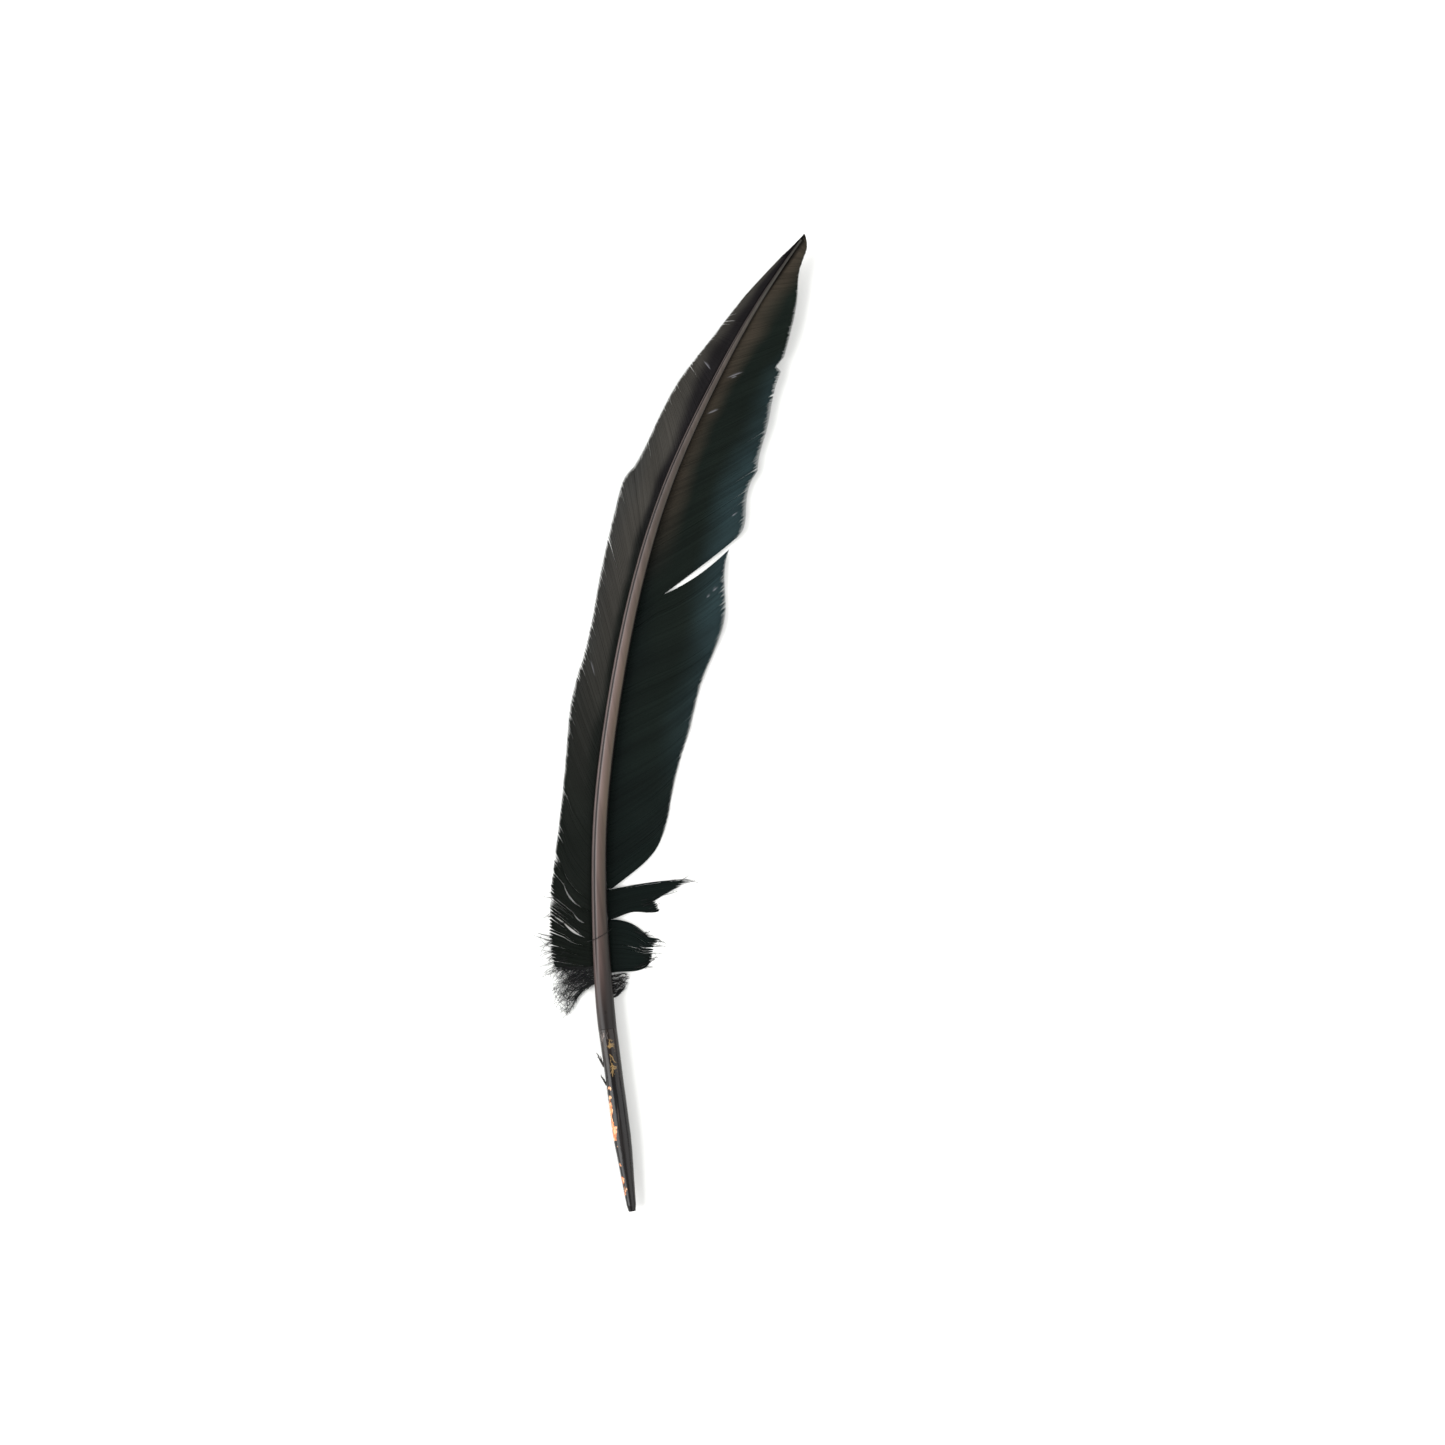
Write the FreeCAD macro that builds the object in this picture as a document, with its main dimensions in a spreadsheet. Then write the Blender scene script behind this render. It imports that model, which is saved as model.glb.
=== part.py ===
import FreeCAD, Part
import Sketcher
import math
import os

from FreeCAD import Placement, Rotation, Vector

# A wing quill, lying with its grooved (inner) face up.
# Millimetres. Origin: centre of the opening at the lower end of the horn tube.
# +Y runs along the tube towards the tip, +X towards the wide vane, +Z up.

doc = FreeCAD.newDocument("quill")

# ---------------------------------------------------------------- driving sizes

SIZES = [
    # the horn tube (calamus)
    ("tube_radius", 2.7),
    ("tube_length", 56.0),
    ("tube_wall", 0.35),
    ("tube_end_radius", 1.1),
    ("tube_nose_radius", 1.45),
    ("tube_nose_length", 2.0),
    ("tube_shoulder_radius", 2.58),
    ("tube_shoulder_at", 20.5),
    ("barrel_start", 23.0),
    ("barrel_end", 40.0),
    ("tube_top_radius", 2.8),
    ("opening_radius", 0.8),
    ("opening_length", 3.0),
    # dried membranes inside the tube
    ("cap_count", 5),
    ("cap_spacing", 5.5),
    ("cap_first_at", 24.0),
    ("cap_film", 0.15),
    ("cap_dome", 0.9),
    ("cap_shoulder", 0.6),
    ("cap_shoulder_rise", 0.7),
    # the shaft (rachis)
    ("shaft_wall", 0.32),
    ("pith_end_at", 262.0),
    ("groove_depth", 0.5),
    ("groove_side", 0.42),
    ("groove_width", 0.22),
    ("shaft_gap", 0.6),
    ("tip_lift", 5.5),
    ("lift_start_at", 150.0),
    ("pore_radius", 0.5),
    ("pore_at", 61.0),
    ("pore_depth_start", 1.0),
    # the vanes
    ("vane_film", 0.45),
    ("vane_seat", 0.38),
    ("inner_sheet_width", 33.0),
    ("outer_sheet_width", 18.0),
    ("inner_sag", 1.5),
    ("outer_sag", 1.1),
    ("edge_rise", 1.9),
    ("tip_narrowing", 0.5),
    ("sheet_root_inset", 1.0),
    ("slit_width", 0.55),
    ("outline_depth", 40.0),
    # broken barb stubs
    ("stub_root_radius", 0.2),
    ("stub_end_radius", 0.1),
    ("stub_rise", 0.25),
    ("stub_seat", 0.05),
]

sheet = doc.addObject("Spreadsheet::Sheet", "Sizes")
for row, (alias, value) in enumerate(SIZES, start=1):
    sheet.set("A%d" % row, alias)
    sheet.set("B%d" % row, str(value))
    sheet.setAlias("B%d" % row, alias)
doc.recompute()


def size(alias):
    """The value of one cell of the sheet."""
    return float(sheet.get(alias))


def bind(thing, prop, formula):
    """Tie a property to cells of the sheet; a cell is written with a leading #."""
    thing.setExpression(prop, formula.replace("#", "Sizes."))


# ------------------------------------------------------------ the line of the shaft

# Plan view of the centre line: straight along the tube, then bending more and
# more towards the wide vane.
SHAFT_LINE = [
    (0.0, 50.0),
    (0.0, 56.0),
    (0.7, 71.0),
    (3.2, 98.0),
    (8.8, 130.0),
    (15.9, 156.0),
    (25.8, 185.0),
    (38.0, 212.4),
    (53.9, 238.8),
    (71.4, 263.0),
    (91.1, 285.4),
]

# Stations of the shaft along +Y: (at, half width, half height).
SHAFT_SECTIONS = [
    (56.0, 2.80, 2.80),
    (63.0, 2.82, 2.64),
    (75.0, 2.65, 2.45),
    (98.0, 2.35, 2.25),
    (130.0, 2.20, 2.05),
    (160.0, 2.05, 1.85),
    (190.0, 1.80, 1.60),
    (215.0, 1.50, 1.35),
    (238.0, 1.15, 1.05),
    (258.0, 0.80, 0.78),
    (273.0, 0.50, 0.55),
    (284.6, 0.28, 0.36),
]

# Stretches over which the shape changes smoothly: (start, end) along +Y.
SETTLING = (58.0, 90.0)
SQUARING = (56.0, 76.0)
NARROWING = (200.0, 285.4)

# Stations of the two cambered sheets that the vanes are cut from.
SHEET_STATIONS = (58.0, 78.0, 100.0, 130.0, 160.0, 190.0, 215.0, 240.0, 264.0, 290.0)

TIP_AT = SHAFT_LINE[-1][1]
FLOOR = -size("tube_top_radius")

shaft_curve = Part.BSplineCurve()
shaft_curve.interpolate([Vector(x, y, 0) for x, y in SHAFT_LINE])


def smooth_step(at, start, end):
    """Goes smoothly from 0 at start to 1 at end."""
    part = min(max((at - start) / (end - start), 0.0), 1.0)
    return part * part * (3.0 - 2.0 * part)


def curve_parameter(at):
    """The centre line's parameter at a distance along +Y."""
    low = shaft_curve.FirstParameter
    high = shaft_curve.LastParameter
    for _ in range(50):
        middle = 0.5 * (low + high)
        if shaft_curve.value(middle).y < at:
            low = middle
        else:
            high = middle
    return 0.5 * (low + high)


def line_heading(at):
    """Direction of the centre line in plan, in radians from +Y towards +X."""
    if at <= SHAFT_LINE[1][1]:
        return 0.0
    direction = shaft_curve.tangent(curve_parameter(at))[0]
    return math.atan2(direction.x, direction.y)


def line_x(at):
    """Sideways place of the centre line at a distance along +Y."""
    if at <= SHAFT_LINE[1][1]:
        return 0.0
    if at > TIP_AT:
        return SHAFT_LINE[-1][0] + (at - TIP_AT) * math.tan(line_heading(TIP_AT))
    return shaft_curve.value(curve_parameter(at)).x


def shaft_half(at, column):
    """Half width (column 1) or half height (column 2) at any place on the shaft."""
    for before, after in zip(SHAFT_SECTIONS, SHAFT_SECTIONS[1:]):
        if at <= after[0]:
            share = max(at - before[0], 0.0) / (after[0] - before[0])
            return before[column] + share * (after[column] - before[column])
    return SHAFT_SECTIONS[-1][column]


def ground_z(at):
    """What the vanes follow: the ground, and the rise of the feather's tip above it."""
    start = size("lift_start_at")
    rise = max(at - start, 0.0) / (TIP_AT - start)
    return FLOOR + size("tip_lift") * rise * rise


def line_z(at):
    """Height of the centre line: the tube lies on the ground, the shaft just over it."""
    gap = size("shaft_gap") * smooth_step(at, *SETTLING)
    return ground_z(at) + gap + shaft_half(at, 2)


# ------------------------------------------------------------------- drawing helpers


def new_body(name):
    body = doc.addObject("PartDesign::Body", name)
    body.Label = name
    return body


def new_sketch(body, name, role, offset=None):
    """A sketch on one of the body's own origin planes, moved by the offset if given."""
    plane = next(item for item in body.Origin.OriginFeatures if item.Role == role)
    sketch = body.newObject("Sketcher::SketchObject", name)
    sketch.AttachmentSupport = [(plane, "")]
    sketch.MapMode = "FlatFace"
    if offset is not None:
        sketch.AttachmentOffset = offset
    return sketch


def draw_stroke(sketch, points):
    """A line through two points, or a smooth curve through more."""
    places = [Vector(x, y, 0) for x, y in points]
    if len(places) == 2:
        return sketch.addGeometry(Part.LineSegment(*places), False)
    curve = Part.BSplineCurve()
    curve.interpolate(places)
    return sketch.addGeometry(curve, False)


def formula_value(formula):
    """The number that a formula of sheet cells gives."""
    return float(sheet.evalExpression(formula.replace("#", "")))


def draw_bound_polygon(sketch, corners):
    """A closed polygon whose corners are tied to the sheet: (x formula, y formula)."""
    spots = []
    for formulas in corners:
        values = [formula_value(formula) for formula in formulas]
        spots.append(Vector(values[0], values[1], 0))
    count = len(spots)
    for index in range(count):
        ends = (spots[index], spots[(index + 1) % count])
        sketch.addGeometry(Part.LineSegment(*ends), False)
    for index in range(count):
        following = (index + 1) % count
        sketch.addConstraint(Sketcher.Constraint("Coincident", index, 2, following, 1))
    for index, formulas in enumerate(corners):
        for kind, formula, value in (
            ("DistanceX", formulas[0], spots[index].x),
            ("DistanceY", formulas[1], spots[index].y),
        ):
            tie = Sketcher.Constraint(kind, -1, 1, index, 1, value)
            number = sketch.addConstraint(tie)
            bind(sketch, "Constraints[%d]" % number, formula)


def revolved(body, name, corners):
    """A polygon of bound corners turned once round the tube's axis."""
    sketch = new_sketch(body, name + "_profile", "XY_Plane")
    draw_bound_polygon(sketch, corners)
    turned = body.newObject("PartDesign::Revolution", name)
    turned.Profile = sketch
    turned.ReferenceAxis = (sketch, ["V_Axis"])
    turned.Angle = 360.0
    return sketch, turned


def boolean(kind, label, base, tool):
    """A named Part::Cut or Part::Common of two objects."""
    result = doc.addObject("Part::" + kind, label)
    result.Label = label
    result.Base = base
    result.Tool = tool
    return result


nodes = []


def keep(part, label):
    """Names a finished piece of the quill."""
    part.Label = label
    nodes.append(part)


# --------------------------------------------------------------------- the horn tube

tube = new_body("calamus_barrel")
revolved(
    tube,
    "tube",
    [
        ("#opening_radius", "0"),
        ("#tube_end_radius", "0"),
        ("#tube_nose_radius", "#tube_nose_length"),
        ("#tube_shoulder_radius", "#tube_shoulder_at"),
        ("#tube_radius", "#barrel_start"),
        ("#tube_radius", "#barrel_end"),
        ("#tube_top_radius", "#tube_length"),
        ("#tube_top_radius - #tube_wall", "#tube_length"),
        ("#tube_radius - #tube_wall", "#barrel_end"),
        ("#tube_radius - #tube_wall", "#barrel_start"),
        ("#tube_shoulder_radius - #tube_wall", "#tube_shoulder_at"),
        ("#tube_nose_radius - #tube_wall", "#opening_length + #tube_wall"),
        ("#opening_radius", "#opening_length"),
    ],
)
keep(tube, "calamus_barrel")

# Thin domed membranes, left where the growing pulp drew back; they span the bore.
caps = new_body("pulp_caps")
CAP_RIM = "#tube_radius - #tube_wall"
CAP_SHOULDER = "#cap_shoulder * (%s)" % CAP_RIM
CAP_SHOULDER_AT = "#cap_first_at + #cap_shoulder_rise * #cap_dome"
cap_sketch, cap = revolved(
    caps,
    "cap",
    [
        ("0", "#cap_first_at + #cap_dome"),
        (CAP_SHOULDER, CAP_SHOULDER_AT),
        (CAP_RIM, "#cap_first_at"),
        (CAP_RIM, "#cap_first_at + #cap_film"),
        (CAP_SHOULDER, CAP_SHOULDER_AT + " + #cap_film"),
        ("0", "#cap_first_at + #cap_dome + #cap_film"),
    ],
)
row_of_caps = caps.newObject("PartDesign::LinearPattern", "cap_row")
row_of_caps.Originals = [cap]
row_of_caps.Direction = (cap_sketch, ["V_Axis"])
bind(row_of_caps, "Length", "#cap_spacing * (#cap_count - 1)")
bind(row_of_caps, "Occurrences", "#cap_count")
caps.Tip = row_of_caps
keep(caps, "pulp_caps")

# ------------------------------------------------------------------------- the shaft

SECTION_POINTS = 32
ROUND = 2.0
SQUARISH = 2.7


def rounded(value, power):
    return math.copysign(abs(value) ** (2.0 / power), value)


def shaft_section(at, inset):
    """Closed outline across the shaft: round at the tube, squarish and grooved above."""
    shaped = smooth_step(at, *SQUARING)
    power = ROUND + (SQUARISH - ROUND) * shaped
    half_width = shaft_half(at, 1) - inset
    half_height = shaft_half(at, 2) - inset
    depth = size("groove_depth") * shaped * half_height / SHAFT_SECTIONS[0][2]
    points = []
    for step in range(SECTION_POINTS):
        angle = 2.0 * math.pi * step / SECTION_POINTS
        across = rounded(math.cos(angle), power)
        up = rounded(math.sin(angle), power)
        from_groove = (across + size("groove_side")) / size("groove_width")
        dip = depth * math.exp(-from_groove * from_groove) if up > 0.0 else 0.0
        points.append(Vector(half_width * across, half_height * up - dip, 0))
    return points


def lofted_shaft(name, inset, last_at):
    """The shaft's outer form, or the same shape set in by the wall."""
    body = new_body(name)
    sketches = []
    stations = [station[0] for station in SHAFT_SECTIONS if station[0] < last_at]
    for at in stations + [last_at]:
        turn = Rotation(Vector(0, 1, 0), -math.degrees(line_heading(at)))
        offset = Placement(Vector(line_x(at), line_z(at), -at), turn)
        sketch = new_sketch(body, "%s_at_%d" % (name, at), "XZ_Plane", offset)
        outline = Part.BSplineCurve()
        outline.interpolate(Points=shaft_section(at, inset), PeriodicFlag=True)
        sketch.addGeometry(outline, False)
        sketches.append(sketch)
    loft = body.newObject("PartDesign::AdditiveLoft", name + "_loft")
    loft.Profile = sketches[0]
    loft.Sections = sketches[1:]
    loft.Ruled = False
    return body


shaft_form = lofted_shaft("shaft_form", 0.0, SHAFT_SECTIONS[-1][0])
pith = lofted_shaft("rachis_pith", size("shaft_wall"), size("pith_end_at"))
keep(pith, "rachis_pith")

shaft_shell = boolean("Cut", "shaft_shell", shaft_form, pith)

# The upper pore: a small hole through the grooved face, closed by dried pulp.
pore = doc.addObject("Part::Cylinder", "pore")
bind(pore, "Radius", "#pore_radius")
bind(pore, "Height", "#tube_top_radius")
pore_at = size("pore_at")
pore_foot = Vector(line_x(pore_at), pore_at, line_z(pore_at) + size("pore_depth_start"))
pore.Placement = Placement(pore_foot, Rotation())
keep(boolean("Common", "upper_pore_plug", shaft_shell, pore), "upper_pore_plug")
keep(boolean("Cut", "rachis_cortex", shaft_shell, pore), "rachis_cortex")

# ------------------------------------------------------------------ the vane sheets


def sheet_section(sketch, at, width, sag):
    """Across one vane: a thin strip that sags from the shaft and lifts at its edge."""
    half = 0.5 * size("vane_film")
    narrowing = 1.0 - size("tip_narrowing") * smooth_step(at, *NARROWING)
    root = line_z(at) - size("vane_seat") * shaft_half(at, 2)
    edge = ground_z(at) + size("edge_rise") * narrowing
    start_x = line_x(at) - math.copysign(size("sheet_root_inset"), width)
    end_x = line_x(at) + width * narrowing
    middle_x = 0.5 * (start_x + end_x)
    middle = 0.5 * (root + edge) - sag * narrowing
    lower = [Vector(x, z - half, 0) for x, z in ((start_x, root), (middle_x, middle), (end_x, edge))]
    upper = [point + Vector(0, 2.0 * half, 0) for point in lower]
    sketch.addGeometry(Part.Arc(*lower), False)
    sketch.addGeometry(Part.LineSegment(lower[2], upper[2]), False)
    sketch.addGeometry(Part.Arc(*reversed(upper)), False)
    sketch.addGeometry(Part.LineSegment(upper[0], lower[0]), False)


def vane_sheet(name, width, sag):
    """The whole cambered sheet of one side, wider than the vane itself."""
    body = new_body(name)
    sketches = []
    for at in SHEET_STATIONS:
        sketch = new_sketch(
            body, "%s_at_%d" % (name, at), "XZ_Plane", Placement(Vector(0, 0, -at), Rotation())
        )
        sheet_section(sketch, at, width, sag)
        sketches.append(sketch)
    loft = body.newObject("PartDesign::AdditiveLoft", name + "_loft")
    loft.Profile = sketches[0]
    loft.Sections = sketches[1:]
    loft.Ruled = False
    return body


inner_sheet = vane_sheet("inner_sheet", size("inner_sheet_width"), size("inner_sag"))
outer_sheet = vane_sheet("outer_sheet", -size("outer_sheet_width"), size("outer_sag"))

# ------------------------------------------------------------------------- the webs

# Plan outlines, drawn as strokes from one root on the shaft round to the other.
# A stroke of two points is straight and a longer one is a smooth curve.

LONG_SPLIT_END = (33.5, 183.6)
STEP_END = (66.6, 215.9)
NOTCH_END = (77.5, 247.7)
OUTER_STEP_END = (30.6, 223.4)
TIP_END = (91.3, 286.0)

# Spacing of the points along the shaft that a web's root stroke runs through.
ROOT_SPACING = 12.0


def on_shaft(at):
    return (line_x(at), at)


def along_shaft(start, end):
    """The stroke along the centre line, where a web's barbs are rooted."""
    steps = max(2, int((end - start) / ROOT_SPACING))
    ats = [start + (end - start) * step / steps for step in range(steps + 1)]
    return [on_shaft(at) for at in ats]


# Partings between the barb groups low on the narrow side, from the edge inwards:
# closed from the edge to the slit's start, open to its end, closed to the shaft.
# Each: (edge, slit start, slit middle, slit end, place on the shaft).
PARTINGS = [
    ((-8.6, 111.0), (-7.4, 108.0), (-5.0, 100.6), (-0.7, 95.4), 92.0),
    ((-10.0, 104.6), (-7.4, 100.6), (-5.2, 95.4), (-1.4, 92.4), 89.6),
    ((-11.6, 98.6), (-5.9, 92.0), (-4.4, 89.8), (-2.2, 88.2), 86.2),
    ((-12.6, 92.8), (-8.9, 89.4), (-6.4, 86.6), (-2.8, 83.8), 82.0),
]


def above_slit(parting):
    """Strokes from the edge to the shaft along a parting's upper lip."""
    edge, start, middle, end, root = parting
    return [[edge, start], [start, middle, end], [end, on_shaft(root)]]


def below_slit(parting):
    """Strokes from the shaft to the edge along a parting's lower lip."""
    edge, start, middle, end, root = parting
    lip = (middle[0] - 0.4 * size("slit_width"), middle[1] - size("slit_width"))
    return [[on_shaft(root), end], [end, lip, start], [start, edge]]


WEBS = {
    "inner_web_tip": [
        along_shaft(240.4, 284.0) + [TIP_END],
        [TIP_END, (91.5, 283.0), (88.6, 276.4), (86.4, 267.1), (83.4, 258.0), (80.3, 250.4)],
        [(80.3, 250.4), NOTCH_END],
        [NOTCH_END, on_shaft(240.4)],
    ],
    "inner_web_upper": [
        along_shaft(201.8, 240.4),
        [on_shaft(240.4), NOTCH_END],
        [NOTCH_END, (78.7, 246.0)],
        [(78.7, 246.0), (75.0, 238.0), (72.2, 229.5), (68.8, 221.5), (67.8, 217.4)],
        [(67.8, 217.4), STEP_END],
        [STEP_END, on_shaft(201.8)],
    ],
    "inner_web_middle": [
        along_shaft(177.8, 201.8),
        [on_shaft(201.8), STEP_END],
        [STEP_END, (64.9, 213.6), (62.6, 206.0), (60.9, 200.2), (58.2, 197.8)],
        [(58.2, 197.8), (52.6, 194.4), (43.0, 188.9), LONG_SPLIT_END],
        [LONG_SPLIT_END, on_shaft(177.8)],
    ],
    "inner_web_lower": [
        along_shaft(97.4, 177.8),
        [on_shaft(177.8), LONG_SPLIT_END],
        [LONG_SPLIT_END, (43.4, 187.2), (56.2, 195.0)],
        [(56.2, 195.0), (53.2, 184.8), (52.2, 175.8), (47.9, 165.8), (42.4, 156.4), (37.2, 143.5),
         (30.7, 129.0), (26.3, 116.0), (21.9, 107.9), (14.2, 101.9), (7.0, 97.7)],
        [(7.0, 97.7), on_shaft(97.4)],
    ],
    "inner_lobe_upper": [
        along_shaft(88.5, 97.2),
        [on_shaft(97.2), (7.0, 97.3)],
        [(7.0, 97.3), (26.4, 97.6), (31.4, 97.2)],
        [(31.4, 97.2), (27.5, 95.6), (19.5, 92.5)],
        [(19.5, 92.5), (20.2, 89.0)],
        [(20.2, 89.0), (15.7, 89.3), (11.9, 89.8), (8.0, 89.0), on_shaft(88.5)],
    ],
    "inner_lobe_lower": [
        along_shaft(71.6, 88.1),
        [on_shaft(88.1), (10.2, 86.9), (13.2, 84.8), (15.6, 81.5)],
        [(15.6, 81.5), (19.4, 80.4)],
        [(19.4, 80.4), (16.6, 77.4), (15.8, 74.8), (14.1, 72.7)],
        [(14.1, 72.7), (10.5, 71.9), (7.2, 72.2), on_shaft(71.6)],
    ],
    "inner_curled_tuft": [
        along_shaft(65.0, 71.3),
        [on_shaft(71.3), (7.3, 71.7)],
        [(7.3, 71.7), (8.4, 70.0), (6.6, 67.2), (4.6, 65.4), on_shaft(65.0)],
    ],
    "outer_web_upper": [
        along_shaft(195.6, 284.0) + [TIP_END],
        [TIP_END, (83.4, 280.0), (70.3, 269.4), (59.3, 258.6), (48.2, 247.8), (39.9, 236.6),
         (32.4, 225.6), OUTER_STEP_END],
        [OUTER_STEP_END, on_shaft(195.6)],
    ],
    "outer_web_lower": [
        along_shaft(PARTINGS[0][-1], 195.6),
        [on_shaft(195.6), OUTER_STEP_END],
        [OUTER_STEP_END, (28.4, 221.6), (24.6, 214.6), (20.6, 204.4), (15.7, 190.9), (8.8, 170.8),
         (2.8, 157.0), (-0.7, 143.0), (-4.4, 127.0), PARTINGS[0][0]],
    ] + above_slit(PARTINGS[0]),
    "outer_down_tuft": [
        along_shaft(69.0, 75.0),
        [on_shaft(75.0), (-6.0, 75.0), (-13.4, 75.9)],
        [(-13.4, 75.9), (-14.8, 70.0), (-15.2, 64.0), (-13.2, 60.6)],
        [(-13.2, 60.6), (-9.6, 64.0), (-6.0, 68.0), (-2.8, 69.6), on_shaft(69.0)],
    ],
}

LOWEST_ROOT = 75.2
LOWEST_CORNER = (-13.4, 76.2)

for index, parting in enumerate(PARTINGS):
    if index + 1 < len(PARTINGS):
        following = PARTINGS[index + 1]
        root_end = following[-1]
        lower_side = [[parting[0], following[0]]] + above_slit(following)
    else:
        root_end = LOWEST_ROOT
        lower_side = [
            [parting[0], (-13.7, 84.0), LOWEST_CORNER],
            [LOWEST_CORNER, (-6.0, 75.2), on_shaft(LOWEST_ROOT)],
        ]
    WEBS["outer_barb_group_%d" % (index + 1)] = (
        [along_shaft(root_end, parting[-1])] + below_slit(parting) + lower_side
    )


def web(label, strokes, vane):
    """One web: its outline cut from the vane's sheet, then seated against the shaft."""
    body = new_body(label + "_outline")
    below = Placement(Vector(0, 0, -0.5 * size("outline_depth")), Rotation())
    sketch = new_sketch(body, label + "_plan", "XY_Plane", below)
    for stroke in strokes:
        draw_stroke(sketch, stroke)
    pad = body.newObject("PartDesign::Pad", label + "_pad")
    pad.Profile = sketch
    bind(pad, "Length", "#outline_depth")
    blank = boolean("Common", label + "_blank", vane, body)
    return boolean("Cut", label, blank, shaft_form)


for label, strokes in WEBS.items():
    keep(web(label, strokes, inner_sheet if label.startswith("inner") else outer_sheet), label)

# ------------------------------------------------------------------ broken barb stubs

# Each stub: (place along the tube, side, length, lean towards the tip in degrees).
STUBS = [
    (42.2, -1, 1.8, 20.0),
    (48.2, -1, 2.2, 35.0),
    (52.4, 1, 1.6, 50.0),
    (54.0, -1, 1.3, 60.0),
]
stub_cuts = []
for index, (at, side, length, lean) in enumerate(STUBS, start=1):
    stub = doc.addObject("Part::Cone", "stub_%d" % index)
    bind(stub, "Radius1", "#stub_root_radius")
    bind(stub, "Radius2", "#stub_end_radius")
    stub.Height = length
    lean_angle = math.radians(lean)
    outwards = Vector(side * math.cos(lean_angle), math.sin(lean_angle), 0.0)
    start = Vector(side * (size("tube_radius") - size("stub_seat")), at, size("stub_rise"))
    stub.Placement = Placement(start, Rotation(Vector(0, 0, 1), outwards))
    stub_cuts.append(boolean("Cut", "stub_cut_%d" % index, stub, tube))
stubs = doc.addObject("Part::Compound", "barb_stubs")
stubs.Links = stub_cuts
keep(stubs, "barb_stubs")

# ----------------------------------------------------------------- check and export

doc.recompute()

for thing in doc.Objects:
    if "Invalid" in thing.State or "Error" in thing.State:
        raise RuntimeError("%s did not compute: %s" % (thing.Label, thing.State))

os.makedirs("parts", exist_ok=True)
for part in nodes:
    shape = part.Shape
    if shape.isNull() or not shape.isValid() or not shape.Solids:
        raise RuntimeError("%s has no valid solid" % part.Label)
    shape.exportStep("parts/%s.step" % part.Label)
    print("%-22s %2d solid(s) %9.2f mm3" % (part.Label, len(shape.Solids), shape.Volume))
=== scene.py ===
import math

import bpy
import numpy as np
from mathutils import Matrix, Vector
from mathutils.bvhtree import BVHTree


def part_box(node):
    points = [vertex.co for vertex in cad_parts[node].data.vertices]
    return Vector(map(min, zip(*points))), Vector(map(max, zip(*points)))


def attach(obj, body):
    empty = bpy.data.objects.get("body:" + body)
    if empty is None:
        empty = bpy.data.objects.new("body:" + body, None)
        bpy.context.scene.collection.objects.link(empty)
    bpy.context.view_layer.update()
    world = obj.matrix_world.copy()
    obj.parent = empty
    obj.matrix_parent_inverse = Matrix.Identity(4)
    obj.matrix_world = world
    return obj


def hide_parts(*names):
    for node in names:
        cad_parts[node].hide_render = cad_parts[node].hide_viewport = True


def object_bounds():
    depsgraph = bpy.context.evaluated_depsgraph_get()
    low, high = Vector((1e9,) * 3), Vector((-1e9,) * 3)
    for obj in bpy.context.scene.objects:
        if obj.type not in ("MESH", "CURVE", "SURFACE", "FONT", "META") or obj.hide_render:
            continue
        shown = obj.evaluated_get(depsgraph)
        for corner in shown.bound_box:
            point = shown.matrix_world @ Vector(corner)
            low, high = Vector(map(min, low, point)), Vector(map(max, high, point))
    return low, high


# The looks of a dyed wing quill that lies with its grooved face up.
# Shapes are worked out in millimetres, in the frame's axes, and written in metres:
# +Y along the horn tube to the tip, +X towards the wide vane, +Z up.

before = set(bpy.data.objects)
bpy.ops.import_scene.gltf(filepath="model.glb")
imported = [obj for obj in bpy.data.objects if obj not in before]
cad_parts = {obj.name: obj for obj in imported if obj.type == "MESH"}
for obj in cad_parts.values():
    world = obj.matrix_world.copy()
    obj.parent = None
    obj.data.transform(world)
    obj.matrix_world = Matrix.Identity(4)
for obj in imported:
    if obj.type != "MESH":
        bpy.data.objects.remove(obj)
cad_low, cad_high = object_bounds()

MM = 0.001
UP = np.array([0.0, 0.0, 1.0])

# The side of the shaft that a web is on: the wide inner vane or the narrow outer one.
INNER = 1.0
OUTER = -1.0

# Columns of the table of the shaft.
CENTRE_X, CENTRE_Z, HALF_WIDTH, HALF_HEIGHT = 1, 2, 3, 4
SHAFT_STATIONS = 160


# ------------------------------------------------------------------ reading the frame


def node_mesh(name):
    """Welded vertices, in millimetres, and triangles of a CAD node."""
    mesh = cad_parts[name].data
    mesh.calc_loop_triangles()
    places = np.empty(len(mesh.vertices) * 3)
    mesh.vertices.foreach_get("co", places)
    corners = np.empty(len(mesh.loop_triangles) * 3, int)
    mesh.loop_triangles.foreach_get("vertices", corners)
    places = places.reshape(-1, 3) / MM
    _, first, index = np.unique(
        np.round(places, 4), axis=0, return_index=True, return_inverse=True
    )
    return places[first], index.ravel()[corners].reshape(-1, 3)


def tree_of(name):
    places, triangles = node_mesh(name)
    return BVHTree.FromPolygons(places.tolist(), triangles.tolist())


def cut_across(places, triangles, at):
    """Points where a mesh meets the plane y = at."""
    found = []
    for a, b in ((0, 1), (1, 2), (2, 0)):
        start = places[triangles[:, a]]
        end = places[triangles[:, b]]
        crosses = (start[:, 1] - at) * (end[:, 1] - at) < 0.0
        start, end = start[crosses], end[crosses]
        share = (at - start[:, 1]) / (end[:, 1] - start[:, 1])
        found.append(start + (end - start) * share[:, None])
    return np.concatenate(found)


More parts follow.
